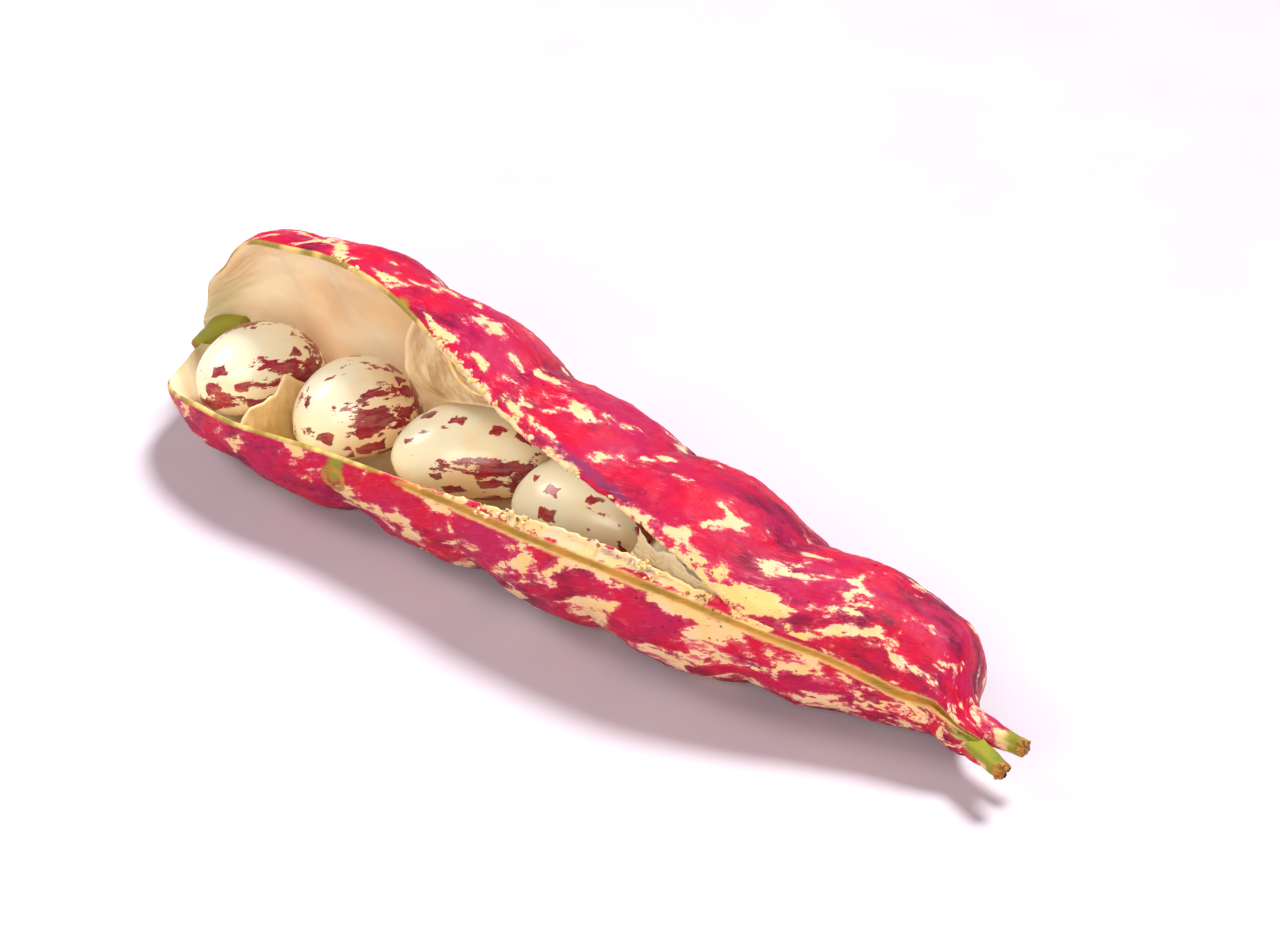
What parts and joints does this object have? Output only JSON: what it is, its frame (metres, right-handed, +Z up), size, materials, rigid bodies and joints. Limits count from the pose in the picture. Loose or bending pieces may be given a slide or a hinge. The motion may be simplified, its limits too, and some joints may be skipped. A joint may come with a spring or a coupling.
{
  "type": "cranberry bean pod, split open with its beans",
  "caption": "Fresh cranberry bean pod lying on its side, split open along the front seam from the stem end, with ivory and crimson speckled beans inside.",
  "frame": {"origin": "middle of the base of the bounding box, on the surface that the pod lies on", "axes": "+X along the pod from the stem end to the beak, -Y towards the open front seam, +Z up"},
  "size_m": [0.12, 0.031, 0.0271],
  "materials": {
    "pod_skin": "satin crimson skin mottled with cream, cream lining inside, olive seams and green stubs",
    "bean_coat": "glossy ivory seed coat with crimson and maroon spots and streaks"
  },
  "bodies": {
    "root": {"pod": "pod_skin", "bean_1": "bean_coat", "bean_2": "bean_coat", "bean_3": "bean_coat", "bean_4": "bean_coat", "bean_5": "bean_coat", "bean_6": "bean_coat"}
  },
  "joints": []
}
